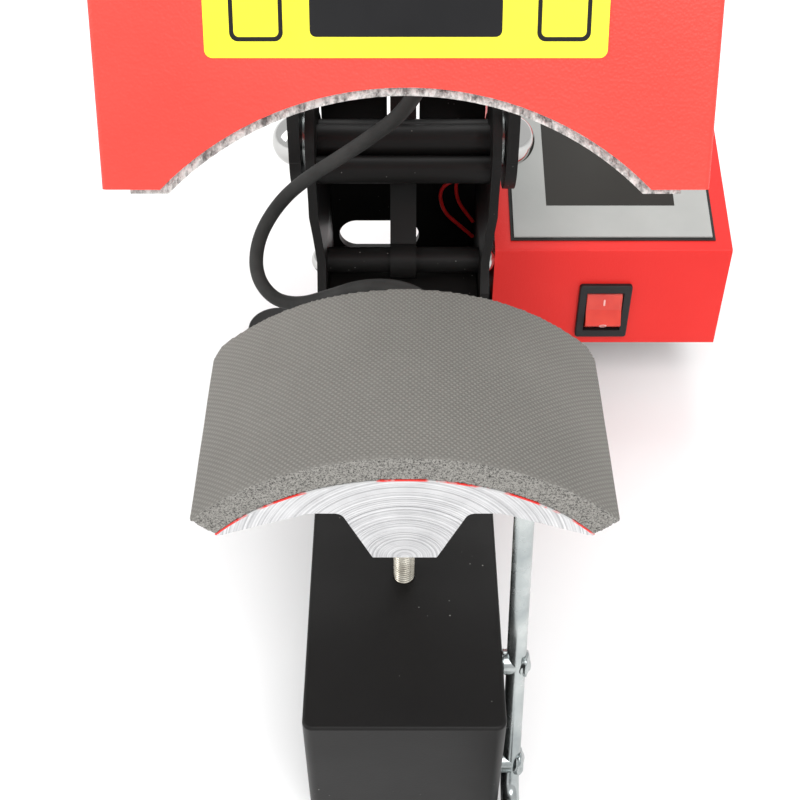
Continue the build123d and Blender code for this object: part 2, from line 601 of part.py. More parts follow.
LABEL_BOTTOM, LABEL_W, LABEL_H, LABEL_T = 195.0, 102.0, 27.0, 0.4
INNER_FRONT, INNER_REAR = COVER_FRONT + COVER_SHEET, COVER_REAR - COVER_SHEET
PLATE_X, PLATE_Z = 72.8, 206.0
GLAND_X, GLAND_Z, CABLE_D = 20.0, 231.0, 6.0
side_screws = [(hand * COVER_W / 2, y, 213.0) for hand in (-1, 1) for y in (16.0, 62.0)]
with BuildPart() as upper_cover:
    with BuildSketch(front(COVER_REAR)):
        Polygon((-COVER_W / 2, COVER_FOOT), (COVER_W / 2, COVER_FOOT), (COVER_W / 2, COVER_TOP),
                (-COVER_W / 2, COVER_TOP), align=None)
    extrude(amount=COVER_REAR - COVER_FRONT)
    fillet(upper_cover.edges().filter_by(Axis.Z), 1.6)
    fillet(upper_cover.edges().group_by(Axis.Z)[-1], 1.2)
    with BuildSketch(front(INNER_REAR)):
        inner_x = COVER_W / 2 - COVER_SHEET
        Polygon((-inner_x, COVER_FOOT - 1), (inner_x, COVER_FOOT - 1), (inner_x, COVER_TOP - COVER_SHEET),
                (-inner_x, COVER_TOP - COVER_SHEET), align=None)
    extrude(amount=INNER_REAR - INNER_FRONT, mode=Mode.SUBTRACT)
    with BuildSketch(front(COVER_REAR + 1)):
        with Locations((0, PAD_AXIS_Z)):
            Circle(COVER_R)
    extrude(amount=COVER_REAR - COVER_FRONT + 2, mode=Mode.SUBTRACT)
    with Locations(*[(x, y, COVER_TOP) for x in (-30, 30) for y in (34, 70)]):
        Hole(3.2, depth=4)
    with Locations((0, 52, COVER_TOP)):
        Hole(6.4, depth=4)
    with BuildSketch(front(COVER_REAR + 1)):
        with Locations((GLAND_X, GLAND_Z)):
            Circle(5.0)
    extrude(amount=4, mode=Mode.SUBTRACT)
    with BuildSketch(side(-COVER_W / 2 - 1)):
        with Locations(*[(y, z) for x, y, z in side_screws[:2]]):
            Circle(2.0)
    extrude(amount=COVER_W + 2, mode=Mode.SUBTRACT)
save(opened(upper_cover.part), "upper_cover")

save(opened(domes(side_screws, 3.6, 2.0, 1.95, 6.0)), "cover_screws")

with BuildPart() as heating_platen:
    with BuildSketch(front(INNER_REAR - 0.5)):
        with BuildLine():
            foot_z = COVER_FOOT - 1.4
            edge_x = (HEATER_R ** 2 - (foot_z - PAD_AXIS_Z) ** 2) ** 0.5
            ThreePointArc((-edge_x, foot_z), (0, PAD_AXIS_Z + HEATER_R), (edge_x, foot_z))
            Polyline((edge_x, foot_z), (PLATE_X, foot_z), (PLATE_X, PLATE_Z), (-PLATE_X, PLATE_Z),
                     (-PLATE_X, foot_z), (-edge_x, foot_z))
        make_face()
    extrude(amount=INNER_REAR - INNER_FRONT - 0.9)
save(opened(heating_platen.part), "heating_platen")

with BuildPart() as heater_insulation:
    with BuildSketch(Plane.XY.offset(PLATE_Z)):
        with Locations((0, (INNER_FRONT + INNER_REAR) / 2)):
            Rectangle(2 * PLATE_X, 74)
            with GridLocations(60, 36, 2, 2):
                Circle(4, mode=Mode.SUBTRACT)
    extrude(amount=12)
save(opened(heater_insulation.part), "heater_insulation")

stud_places = [(x, y) for x in (-30, 30) for y in (34, 70)]
with BuildPart() as pressure_plate:
    with BuildSketch(Plane.XY.offset(PLATE_Z + 12)):
        with Locations((0, 44)):
            RectangleRounded(120, 64, 4)
    extrude(amount=4)
save(opened(pressure_plate.part), "pressure_plate")

with BuildPart() as head_studs:
    for x, y in stud_places:
        with BuildSketch(Plane.XY.offset(PLATE_Z + 16)):
            with Locations((x, y)):
                Circle(3.0)
        extrude(amount=BRIDGE_Z + BRIDGE_T + 9 - PLATE_Z - 16)
        for z in (BRIDGE_Z - 5.2, BRIDGE_Z + BRIDGE_T):
            with BuildSketch(Plane.XY.offset(z)):
                with Locations((x, y)):
                    RegularPolygon(5.7, 6)
            extrude(amount=5.2)
save(opened(head_studs.part), "head_studs")

LOBES, KNOB_R, KNOB_Z = 6, 19.0, 284.0
with BuildPart() as pressure_knob:
    with BuildSketch(Plane.XY.offset(KNOB_Z)):
        with Locations((0, 52)):
            Circle(KNOB_R)
            with PolarLocations(KNOB_R + 4, LOBES):
                Circle(7, mode=Mode.SUBTRACT)
    extrude(amount=16)
    fillet(pressure_knob.edges().group_by(Axis.Z)[-1], 2)
    with BuildSketch(Plane.XY.offset(KNOB_Z - 4)):
        with Locations((0, 52)):
            Circle(10)
    extrude(amount=4)
save(opened(pressure_knob.part), "pressure_knob")
with BuildPart() as pressure_screw:
    with BuildSketch(Plane.XY.offset(PLATE_Z + 16.3)):
        with Locations((0, 52)):
            Circle(6.0)
    extrude(amount=KNOB_Z - 4 - PLATE_Z - 16.3)
    chamfer(pressure_screw.edges().group_by(Axis.Z)[0], 1)
save(opened(pressure_screw.part), "pressure_screw")

with BuildPart() as label_plate:
    with BuildSketch(front(COVER_FRONT)):
        with Locations((0, LABEL_BOTTOM + LABEL_H / 2)):
            RectangleRounded(LABEL_W, LABEL_H, 2)
    extrude(amount=LABEL_T)
save(opened(label_plate.part), "label_plate")

# ---- toggle: lever on the arms, link on the knuckle tube, pinned together at the knee ----
lever_pin_at = opened(Vertex(0, *HEAD_PIN)).center()
lever_y, lever_z = lever_pin_at.Y, lever_pin_at.Z


def knee(pin_y, pin_z):
    """Where link and crank meet when the lever pin is at that place, as (y, z)."""
    reach = hypot(pin_y - KNUCKLE_Y, pin_z - KNUCKLE_Z)
    along = (LINK_L ** 2 - CRANK_L ** 2 + reach ** 2) / (2 * reach)
    off = (LINK_L ** 2 - along ** 2) ** 0.5
    unit_y, unit_z = (pin_y - KNUCKLE_Y) / reach, (pin_z - KNUCKLE_Z) / reach
    return (KNUCKLE_Y + unit_y * along - unit_z * off, KNUCKLE_Z + unit_z * along + unit_y * off)


KNEE_Y, KNEE_Z = knee(lever_y, lever_z)
KNEE_PIN_R, LINK_W, LEVER_IN, LEVER_T = 3.0, 12.0, 20.0, 4.0
HANDLE_TILT, HANDLE_L = 14.0, 235.0
lever_dir = (-sin(radians(HANDLE_TILT)), cos(radians(HANDLE_TILT)))


def on_handle(distance):
    """A point of the handle's centreline that far from the lever pin, as (y, z)."""
    return (lever_y + distance * lever_dir[0], lever_z + distance * lever_dir[1])


save(rods([(-ARM_IN - ARM_T - 4, ARM_IN + ARM_T + 4, lever_y, lever_z)], LEVER_PIN_R), "lever_pin")


def lever(x0):
    """One bell-crank plate of the lever from x0: knee to lever pin to handle tube."""
    with BuildPart() as plate:
        for start, end, r0, r1 in (((KNEE_Y, KNEE_Z), (lever_y, lever_z), 9, 13),
                                   ((lever_y, lever_z), on_handle(62), 13, 12)):
            with BuildSketch(side(x0)):
                with Locations(start):
                    Circle(r0)
                with Locations(end):
                    Circle(r1)
                make_hull()
            extrude(amount=LEVER_T)
        with BuildSketch(side(x0)):
            with Locations((KNEE_Y, KNEE_Z)):
                Circle(KNEE_PIN_R)
            with Locations((lever_y, lever_z)):
                Circle(LEVER_PIN_R + CLEAR)
        extrude(amount=LEVER_T, mode=Mode.SUBTRACT)
    return plate.part


save(lever(LEVER_IN), "lever_right")
save(lever(-LEVER_IN - LEVER_T), "lever_left")
knee_x = LEVER_IN + LEVER_T + 3
save(rods([(-knee_x, knee_x, KNEE_Y, KNEE_Z)], KNEE_PIN_R), "knee_pin")

handle_plane = Plane(origin=(0, *on_handle(46)), x_dir=(1, 0, 0), z_dir=(0, *lever_dir))
with BuildPart() as handle_tube:
    with BuildSketch(handle_plane):
        Circle(9)
    extrude(amount=HANDLE_L - 56)
    with BuildSketch(side(-LEVER_IN)):
        with Locations(on_handle(54)):
            Circle(8)
    extrude(amount=2 * LEVER_IN)
save(handle_tube.part, "handle_tube")

with BuildPart() as handle_grip:
    with BuildSketch(handle_plane.offset(HANDLE_L - 150)):
        Circle(13)
    extrude(amount=104)
    with BuildSketch(handle_plane.offset(HANDLE_L - 150)):
        Circle(9)
    extrude(amount=94, mode=Mode.SUBTRACT)
    fillet(handle_grip.edges().filter_by(GeomType.CIRCLE).filter_by(lambda e: e.radius > 10), 3)
save(handle_grip.part, "handle_grip")

LINK_EYE_R = 8.6
closed_y, closed_z = knee(*HEAD_PIN)
link_turn = degrees(atan2(KNEE_Z - KNUCKLE_Z, KNEE_Y - KNUCKLE_Y))
link_swing = degrees(atan2(closed_z - KNUCKLE_Z, closed_y - KNUCKLE_Y)) - link_turn
link_axis = Axis((0, KNUCKLE_Y, KNUCKLE_Z), (1, 0, 0))
relief_at = Vertex(0, *spacer_places[1]).rotate(link_axis, -link_swing).center()
relief = (relief_at.Y, relief_at.Z)      # where the rear spacer tube meets the link, head closed
with BuildPart() as toggle_link:
    with BuildSketch(side(-LINK_W / 2)):
        with Locations((KNUCKLE_Y, KNUCKLE_Z)):
            Circle(LINK_EYE_R)
        with Locations((KNEE_Y, KNEE_Z)):
            Circle(10)
        with Locations(((KNUCKLE_Y + KNEE_Y) / 2, (KNUCKLE_Z + KNEE_Z) / 2)):
            Rectangle(LINK_L, 9, rotation=link_turn)
        with Locations((KNUCKLE_Y, KNUCKLE_Z)):
            Circle(KNUCKLE_R + CLEAR, mode=Mode.SUBTRACT)
        with Locations((KNEE_Y, KNEE_Z)):
            Circle(KNEE_PIN_R + 3.2, mode=Mode.SUBTRACT)
    extrude(amount=LINK_W)
    with BuildSketch(side(-LINK_W / 2)):
        with Locations(relief):
            Circle(SPACER_R + 1)
    extrude(amount=LINK_W, mode=Mode.SUBTRACT)
save(toggle_link.part, "toggle_link")

# ---- limit switch and its leads, on the inside of the right upright ----
SWITCH_Y, SWITCH_Z = 244.0, 117.0
with BuildPart() as limit_switch:
    with BuildSketch(Plane(origin=(0, SWITCH_Y, SWITCH_Z))):
        with Locations((HIGH_IN - 5.2, 0)):
            Rectangle(10.4, 7)
    extrude(amount=13)
    with BuildSketch(Plane(origin=(0, SWITCH_Y, SWITCH_Z + 13))):
        with Locations((HIGH_IN - 5.2, 0)):
            Rectangle(4, 2.4)
    extrude(amount=1.6)
save(limit_switch.part, "limit_switch")


def cord(points, diameter, bend):
    """A round cord along straight runs joined by tangent arcs, with its length and radii printed."""
    points = [Vector(*p) for p in points]
    radii = []
    for a, b, c in zip(points, points[1:], points[2:]):
        turn = radians((b - a).get_angle(c - b))
        radii.append(min(bend, 0.45 * min((b - a).length, (c - b).length) / tan(turn / 2)))
    with BuildPart() as tube:
        with BuildLine() as path:
            FilletPolyline(*points, radius=radii)
        with BuildSketch(Plane(origin=path.line @ 0, z_dir=path.line % 0)):
            Circle(diameter / 2)
        sweep()
    length = path.wire().length
    ideal = length * pi * diameter ** 2 / 4
    print("length", round(length, 1), "radii", [round(r, 1) for r in radii],
          "volume ratio", round(tube.part.volume / ideal, 4))
    return tube.part


lead_routes = [[(30, SWITCH_Y, SWITCH_Z), (30, SWITCH_Y, 108), (17, SWITCH_Y + 1, 102), (19, SWITCH_Y, 88),
                (LOW_IN - 0.8, SWITCH_Y - 2, 74)],
               [(34, SWITCH_Y + 2, SWITCH_Z), (34, SWITCH_Y + 2, 109), (25, SWITCH_Y + 4, 104),
                (26, SWITCH_Y + 3, 92), (LOW_IN - 0.8, SWITCH_Y + 2, 80)]]
for number, lead in enumerate(lead_routes, 1):
    save(cord(lead, 1.8, 60), f"switch_lead_{number}")

# ---- heater cable from the head down into the beam ----
cable_out = Vector(0, cos(radians(OPEN_ANGLE)), -sin(radians(OPEN_ANGLE)))
gland_seat = opened(Vertex(GLAND_X, COVER_REAR, GLAND_Z)).center()
CABLE_END = (18.0, 138.0)
GLAND_H = 12.0
cable_route = [tuple(gland_seat + cable_out * GLAND_H), tuple(gland_seat + cable_out * 32),
               (19, 177, 250), (14, 173, 222), (3, 168, 195), (-17, 177, 172), (-43, 185, 148),
               (-54.5, 184.5, 135), (-62.5, 179, 122), (-63.5, 169.5, 111), (-56, 160.5, 105), (-44.5, 155, 106.5),
               (-31.5, 150.5, 115), (-16, 147, 124.5), (2, 143, 126.5), (14.5, 140, 117),
               (18, 138.5, 102.5), (*CABLE_END, BEAM_TOP + GLAND_H)]
save(cord(cable_route, CABLE_D, 200), "heater_cable")

with BuildPart() as head_gland:
    seat = Plane(origin=gland_seat, x_dir=(1, 0, 0), z_dir=cable_out)
    with BuildSketch(seat.offset(-6)):
        Circle(4.95)
    extrude(amount=6)
    with BuildSketch(seat):
        RegularPolygon(7.5, 6)
    extrude(amount=5)
    with BuildSketch(seat.offset(5)):
        Circle(6.2)
    extrude(amount=GLAND_H - 5, taper=12)
save(head_gland.part, "head_gland")

with BuildPart() as beam_gland:
    seat = Plane(origin=(*CABLE_END, BEAM_TOP), x_dir=(1, 0, 0), z_dir=(0, 0, 1))
    with BuildSketch(seat):
        RegularPolygon(7.5, 6)
    extrude(amount=5)
    with BuildSketch(seat.offset(5)):
        Circle(6.2)
    extrude(amount=GLAND_H - 5, taper=12)
save(beam_gland.part, "beam_gland")
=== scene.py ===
"""Looks of the clamshell cap press: camera, light, materials and the pieces that Blender shapes."""
import bpy
import bmesh
import json
from math import cos, pi, radians, sin
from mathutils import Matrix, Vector, noise


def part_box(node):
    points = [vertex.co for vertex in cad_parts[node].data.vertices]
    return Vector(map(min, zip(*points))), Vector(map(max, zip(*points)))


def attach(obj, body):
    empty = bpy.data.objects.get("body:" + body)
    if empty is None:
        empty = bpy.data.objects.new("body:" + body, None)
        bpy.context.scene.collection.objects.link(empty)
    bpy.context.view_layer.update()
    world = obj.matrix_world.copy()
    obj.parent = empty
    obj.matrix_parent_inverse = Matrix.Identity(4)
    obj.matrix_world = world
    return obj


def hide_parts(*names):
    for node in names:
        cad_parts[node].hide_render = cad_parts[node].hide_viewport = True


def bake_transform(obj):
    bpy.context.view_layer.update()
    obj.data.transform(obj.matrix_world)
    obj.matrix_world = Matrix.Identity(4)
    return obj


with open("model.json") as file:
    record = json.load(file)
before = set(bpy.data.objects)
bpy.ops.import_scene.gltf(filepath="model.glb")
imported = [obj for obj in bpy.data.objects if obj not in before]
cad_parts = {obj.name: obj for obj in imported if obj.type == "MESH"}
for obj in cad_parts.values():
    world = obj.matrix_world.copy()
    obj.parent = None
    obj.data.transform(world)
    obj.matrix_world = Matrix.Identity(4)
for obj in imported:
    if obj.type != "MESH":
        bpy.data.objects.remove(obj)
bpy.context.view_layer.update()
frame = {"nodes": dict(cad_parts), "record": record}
nodes = frame["nodes"]
scene = bpy.context.scene

# ---- camera: the photograph's angle, above and in front of the padded platen ----
LENS_MM, SENSOR_MM = 55.755, 36.0
CAMERA_AT = (-0.0015, -0.238, 0.4556)
CAMERA_PITCH = 46.0        # degrees below the horizontal


def make_camera():
    """The camera looks along +Y and down by its pitch."""
    data = bpy.data.cameras.new("camera")
    data.sensor_fit = "HORIZONTAL"
    data.sensor_width = SENSOR_MM
    data.lens = LENS_MM
    data.clip_start = 0.01
    camera = bpy.data.objects.new("camera", data)
    scene.collection.objects.link(camera)
    camera.location = CAMERA_AT
    camera.rotation_euler = (radians(90 - CAMERA_PITCH), 0, 0)
    scene.camera = camera


make_camera()


# ---- stage: pale floor, pale room, large soft lights ----
FLOOR_HALF = 8.0
LIGHTS_AIM = (0, 0.12, 0.12)
LIGHTS = (                 # name, place, size in metres, power in watts
    ("key", (0.35, -0.75, 1.35), 0.9, 13.0),
    ("fill", (-1.1, -0.2, 0.9), 0.8, 7.0),
    ("back", (0.1, 1.2, 1.3), 1.0, 9.0),
)


def make_stage():
    """A seamless pale floor far larger than the view, three area lights and a pale world."""
    mesh = bpy.data.meshes.new("floor")
    corners = [(x * FLOOR_HALF, y * FLOOR_HALF, 0) for x, y in ((-1, -1), (1, -1), (1, 1), (-1, 1))]
    mesh.from_pydata(corners, [], [(0, 1, 2, 3)])
    floor = bpy.data.objects.new("floor", mesh)
    scene.collection.objects.link(floor)
    paint = bpy.data.materials.new("floor")
    paint.use_nodes = True
    shader = paint.node_tree.nodes["Principled BSDF"]
    shader.inputs["Base Color"].default_value = (0.93, 0.93, 0.93, 1)
    shader.inputs["Roughness"].default_value = 0.9
    shader.inputs["Specular IOR Level"].default_value = 0.1
    mesh.materials.append(paint)
    world = bpy.data.worlds.new("room")
    world.use_nodes = True
    world.node_tree.nodes["Background"].inputs["Color"].default_value = (1, 1, 1, 1)
    world.node_tree.nodes["Background"].inputs["Strength"].default_value = 0.85
    scene.world = world
    for name, at, size, power in LIGHTS:
        data = bpy.data.lights.new(name, "AREA")
        data.size = size
        data.energy = power
        light = bpy.data.objects.new(name, data)
        light.location = at
        light.rotation_euler = (Vector(LIGHTS_AIM) - Vector(at)).to_track_quat("-Z", "Y").to_euler()
        scene.collection.objects.link(light)


make_stage()
scene.view_settings.view_transform = "Standard"


# ---- materials ----
class Recipe:
    """A principled material under construction, with short calls for the nodes it uses."""

    def __init__(self, name, color, roughness, metallic=0.0, **sockets):
        self.material = bpy.data.materials.new(name)
        self.material.use_nodes = True
        self.tree = self.material.node_tree
        self.shader = self.tree.nodes["Principled BSDF"]
        self.shader.inputs["Base Color"].default_value = (*color, 1)
        self.shader.inputs["Roughness"].default_value = roughness
        self.shader.inputs["Metallic"].default_value = metallic
        for socket, value in sockets.items():
            self.shader.inputs[socket.replace("_", " ")].default_value = value
        self.normal = None

    def node(self, kind, **values):
        """A new node; values set properties or input sockets by name."""
        made = self.tree.nodes.new(kind)
        for key, value in values.items():
            if hasattr(made, key):
                setattr(made, key, value)
            else:
                made.inputs[key.replace("_", " ")].default_value = value
        return made

    def link(self, source, target):
        self.tree.links.new(source, target)

    def place(self, scale=(1, 1, 1), turn=(0, 0, 0)):
        """Object coordinates, scaled and turned."""
        coordinates = self.node("ShaderNodeTexCoord")
        mapping = self.node("ShaderNodeMapping")
        mapping.inputs["Scale"].default_value = scale
        mapping.inputs["Rotation"].default_value = turn
        self.link(coordinates.outputs["Object"], mapping.inputs["Vector"])
        return mapping.outputs["Vector"]

    def noise(self, scale, detail=4.0, rough=0.55, vector=None):
        made = self.node("ShaderNodeTexNoise", Scale=scale, Detail=detail, Roughness=rough)
        self.link(vector or self.place(), made.inputs["Vector"])
        return made.outputs["Fac"]

    def ramp(self, source, stops):
        """A colour ramp over (position, colour or grey) stops."""
        made = self.node("ShaderNodeValToRGB")
        elements = made.color_ramp.elements
        while len(elements) < len(stops):
            elements.new(0.5)
        for element, (position, value) in zip(elements, stops):
            element.position = position
            element.color = (*value, 1) if isinstance(value, tuple) else (value, value, value, 1)
        self.link(source, made.inputs["Fac"])
        return made.outputs["Color"]

    def color(self, source):
        self.link(source, self.shader.inputs["Base Color"])
        return self

    def rough(self, source, low, high):
        """Roughness that follows a 0 to 1 source between low and high."""
        made = self.node("ShaderNodeMapRange", To_Min=low, To_Max=high)
        self.link(source, made.inputs["Value"])
        self.link(made.outputs["Result"], self.shader.inputs["Roughness"])
        return self

    def bump(self, source, depth, strength=1.0):
        """Raise the surface by a source, depth in metres; bumps stack."""
        made = self.node("ShaderNodeBump", Strength=strength, Distance=depth)
        self.link(source, made.inputs["Height"])
        if self.normal is not None:
            self.link(self.normal, made.inputs["Normal"])
        self.normal = made.outputs["Normal"]
        self.link(self.normal, self.shader.inputs["Normal"])
        return self


def mix(recipe, factor, first, second):
    """Colour mix; first and second are sockets or colours."""
    made = recipe.node("ShaderNodeMix", data_type="RGBA")
    for value, index in ((factor, 0), (first, 6), (second, 7)):
        if isinstance(value, (tuple, float)):
            made.inputs[index].default_value = (*value, 1) if isinstance(value, tuple) else value
        else:
            recipe.link(value, made.inputs[index])
    return made.outputs[2]


def red_paint(name, base, deep, light, texture):
    """Powder-coated sheet: a fine leathery skin over slow colour drift."""
    r = Recipe(name, base, 0.42, Specular_IOR_Level=0.3)
    drift = r.noise(14.0, 3.0)
    r.color(r.ramp(drift, [(0.25, deep), (0.5, base), (0.78, light)]))
    cells = r.node("ShaderNodeTexVoronoi", Scale=1300.0, Randomness=1.0)
    r.link(r.place(), cells.inputs["Vector"])
    r.bump(cells.outputs["Distance"], texture)
    r.bump(r.noise(480.0, 4.0), texture * 1.2)
    r.rough(r.noise(420.0, 3.0), 0.36, 0.52)
    return r.material


def black_paint():
    """Satin black powder coat with stray dust specks."""
    r = Recipe("black_powder_coat", (0.01, 0.0095, 0.009), 0.4, Specular_IOR_Level=0.16)
    dust = r.node("ShaderNodeTexVoronoi", Scale=260.0, Randomness=1.0)
    r.link(r.place(), dust.inputs["Vector"])
    specks = r.ramp(dust.outputs["Distance"], [(0.03, 1.0), (0.085, 0.0)])
    sparse = r.ramp(r.noise(60.0, 2.0), [(0.56, 0.0), (0.62, 1.0)])
    both = r.node("ShaderNodeMath", operation="MULTIPLY")
    r.link(specks, both.inputs[0])
    r.link(sparse, both.inputs[1])
    tone = r.ramp(r.noise(9.0, 3.0), [(0.3, (0.0085, 0.008, 0.0078)), (0.75, (0.0125, 0.012, 0.0115))])
    r.color(mix(r, both.outputs[0], tone, (0.3, 0.3, 0.28)))
    r.bump(r.noise(1500.0, 2.0), 0.00003)
    r.bump(r.noise(70.0, 2.0), 0.00004)
    r.rough(r.noise(30.0, 4.0), 0.34, 0.5)
    return r.material


def zinc():
    """Bright zinc plating, slightly blue, with fine drawn lines."""
    r = Recipe("zinc_plated", (0.42, 0.45, 0.45), 0.24, 1.0)
    r.color(r.ramp(r.noise(60.0, 5.0), [(0.3, (0.3, 0.33, 0.335)), (0.7, (0.56, 0.59, 0.58))]))
    r.bump(r.noise(800.0, 3.0), 0.00003)
    r.rough(r.noise(120.0, 4.0), 0.16, 0.36)
    return r.material


def chrome():
    """Polished chrome with faint haze."""
    r = Recipe("polished_chrome", (0.5, 0.5, 0.49), 0.07, 1.0)
    r.rough(r.noise(90.0, 4.0), 0.04, 0.14)
    r.bump(r.noise(200.0, 2.0), 0.000015)
    return r.material


def stud_steel():
    """Nickel-bright thread with dark roots."""
    r = Recipe("stud_steel", (0.72, 0.7, 0.64), 0.22, 1.0)
    r.color(r.ramp(r.noise(150.0, 4.0), [(0.3, (0.38, 0.35, 0.29)), (0.7, (0.66, 0.63, 0.55))]))
    r.rough(r.noise(300.0, 3.0), 0.15, 0.35)
    return r.material


def foam_skin():
    """The pad's moulded skin: grey silicone with the fine diagonal imprint of cloth, whose grooves carry
    painted shade and whose crests carry painted light.
    """
    r = Recipe("silicone_foam", (0.2, 0.193, 0.178), 0.78, Specular_IOR_Level=0.2)
    waves = []
    for angle in (0.8, -0.75):
        wave = r.node("ShaderNodeTexWave", wave_type="BANDS", Scale=240.0, Distortion=0.2)
        r.link(r.place(turn=(0, 0, angle)), wave.inputs["Vector"])
        waves.append(wave.outputs["Fac"])
    weave = r.node("ShaderNodeMath", operation="MULTIPLY")
    r.link(waves[0], weave.inputs[0])
    r.link(waves[1], weave.inputs[1])
    grain = r.ramp(r.noise(18.0, 4.0), [(0.3, (0.185, 0.178, 0.163)), (0.7, (0.235, 0.227, 0.208))])
    # Painted shade and light: the imprint's grooves are painted darker and its crests lighter, from the same
    # weave that raises the bump.
    imprint_shade_and_light = r.ramp(weave.outputs[0], [(0.0, (0.125, 0.12, 0.11)), (0.7, (0.27, 0.26, 0.24))])
    r.color(mix(r, 0.5, grain, imprint_shade_and_light))
    r.bump(weave.outputs[0], 0.00022)
    r.bump(r.noise(500.0, 3.0), 0.00008)
    return r.material


def foam_cut():
    """The pad's sawn faces: open cells in pale grey walls, their hollows painted near black as painted shade.
    """
    r = Recipe("silicone_foam_cut", (0.2, 0.195, 0.185), 0.85, Specular_IOR_Level=0.2)
    cells = r.node("ShaderNodeTexVoronoi", Scale=2000.0, Randomness=1.0)
    r.link(r.place(), cells.inputs["Vector"])
    # Painted shade: dark spots from the cells and from the noise stand in for the shade inside the open
    # cells; the walls between stay pale grey.
    pit_shade = r.ramp(cells.outputs["Distance"], [(0.25, (0.02, 0.019, 0.018)), (0.5, (0.3, 0.29, 0.27))])
    hole_shade = r.ramp(r.noise(1500.0, 4.0), [(0.4, (0.03, 0.029, 0.027)), (0.53, (0.33, 0.32, 0.295))])
    r.color(mix(r, 0.5, pit_shade, hole_shade))
    r.bump(r.noise(900.0, 4.0), 0.0005)
    return r.material


def glue():
    """Red adhesive film, showing in broken dabs along the joint."""
    r = Recipe("red_adhesive", (0.7, 0.03, 0.02), 0.35)
    dabs = r.ramp(r.noise(95.0, 4.0), [(0.44, (0.5, 0.5, 0.5)), (0.52, (0.72, 0.02, 0.012))])
    r.color(dabs)
    r.bump(r.noise(300.0, 3.0), 0.0003)
    return r.material


def cast_aluminium(name, low, high, scale, depth, rough):
    """Rough cast or milled aluminium."""
    r = Recipe(name, (0.8, 0.8, 0.8), 0.4, 1.0)
    chips = r.noise(scale, 6.0, 0.7, r.place(scale=(1, 1, 0.55)))
    r.color(r.ramp(chips, [(0.36, low), (0.58, high)]))
    r.bump(chips, depth)
    r.rough(r.noise(scale * 1.5, 4.0), *rough)
    return r.material


def faced_aluminium(centre):
    """Aluminium faced on a lathe: rings about the axis through centre, along Y."""
    r = Recipe("faced_aluminium", (0.82, 0.82, 0.83), 0.3, 1.0)
    coordinates = r.node("ShaderNodeTexCoord")
    shifted = r.node("ShaderNodeVectorMath", operation="SUBTRACT")
    r.link(coordinates.outputs["Object"], shifted.inputs[0])
    shifted.inputs[1].default_value = centre
    parts = r.node("ShaderNodeSeparateXYZ")
    r.link(shifted.outputs[0], parts.inputs[0])
    flat = r.node("ShaderNodeCombineXYZ")
    r.link(parts.outputs["X"], flat.inputs["X"])
    r.link(parts.outputs["Z"], flat.inputs["Y"])
    length = r.node("ShaderNodeVectorMath", operation="LENGTH")
    r.link(flat.outputs[0], length.inputs[0])
    rings = r.node("ShaderNodeTexNoise", noise_dimensions="1D", Scale=1400.0, Detail=5.0)
    r.link(length.outputs["Value"], rings.inputs["W"])
    coarse = r.node("ShaderNodeTexNoise", noise_dimensions="1D", Scale=330.0, Detail=3.0)
    r.link(length.outputs["Value"], coarse.inputs["W"])
    streaks = r.ramp(rings.outputs["Fac"], [(0.32, (0.38, 0.38, 0.39)), (0.62, (0.74, 0.74, 0.75))])
    r.color(mix(r, 0.75, r.ramp(r.noise(90.0, 6.0), [(0.35, (0.46, 0.46, 0.47)), (0.65, (0.86, 0.86, 0.86))]),
                streaks))
    r.bump(rings.outputs["Fac"], 0.00012)
    r.bump(coarse.outputs["Fac"], 0.00022)
    r.rough(rings.outputs["Fac"], 0.22, 0.42)
    return r.material


def rubber(name, color, scale=400.0):
    """Matt rubber with dust in its pores."""
    r = Recipe(name, color, 0.62, Specular_IOR_Level=0.25)
    light = tuple(min(1, c * 1.9 + 0.012) for c in color)
    r.color(r.ramp(r.noise(scale * 0.12, 6.0), [(0.35, color), (0.8, light)]))
    r.bump(r.noise(scale, 4.0), 0.00006)
    r.rough(r.noise(scale * 0.3, 3.0), 0.5, 0.75)
    return r.material


def plastic(name, color, rough=0.4, bump=0.00003, **sockets):
    """Moulded plastic with a fine spark-eroded texture."""
    r = Recipe(name, color, rough, **sockets)
    light = tuple(min(1, c * 1.12 + 0.003) for c in color)
    r.color(r.ramp(r.noise(35.0, 3.0), [(0.3, color), (0.75, light)]))
    r.bump(r.noise(1100.0, 3.0), bump)
    r.rough(r.noise(220.0, 3.0), rough * 0.85, min(1.0, rough * 1.2))
    return r.material


def insulation_felt():
    """Pale glass-fibre felt."""
    r = Recipe("insulation", (0.62, 0.6, 0.52), 0.95)
    fibres = r.noise(220.0, 6.0, 0.7, r.place(scale=(1, 0.3, 2.5)))
    r.color(r.ramp(fibres, [(0.3, (0.42, 0.4, 0.33)), (0.7, (0.78, 0.76, 0.68))]))
    r.bump(fibres, 0.0006)
    return r.material


def board():
    """Green circuit board with pale traces."""
    r = Recipe("circuit_board", (0.02, 0.15, 0.05), 0.35)
    bricks = r.node("ShaderNodeTexBrick", Scale=60.0)
    bricks.inputs["Color1"].default_value = (0.015, 0.13, 0.045, 1)
    bricks.inputs["Color2"].default_value = (0.02, 0.17, 0.06, 1)
    bricks.inputs["Mortar"].default_value = (0.35, 0.4, 0.2, 1)
    r.link(r.place(), bricks.inputs["Vector"])
    r.color(bricks.outputs["Color"])
    r.bump(bricks.outputs["Fac"], 0.0001)
    return r.material


def glass_panel():
    """Dark gloss display window."""
    r = Recipe("dark_window", (0.028, 0.026, 0.023), 0.3, Specular_IOR_Level=0.12)
    r.color(r.ramp(r.noise(20.0, 3.0), [(0.3, (0.026, 0.024, 0.021)), (0.8, (0.034, 0.032, 0.028))]))
    r.rough(r.noise(60.0, 4.0), 0.26, 0.38)
    return r.material


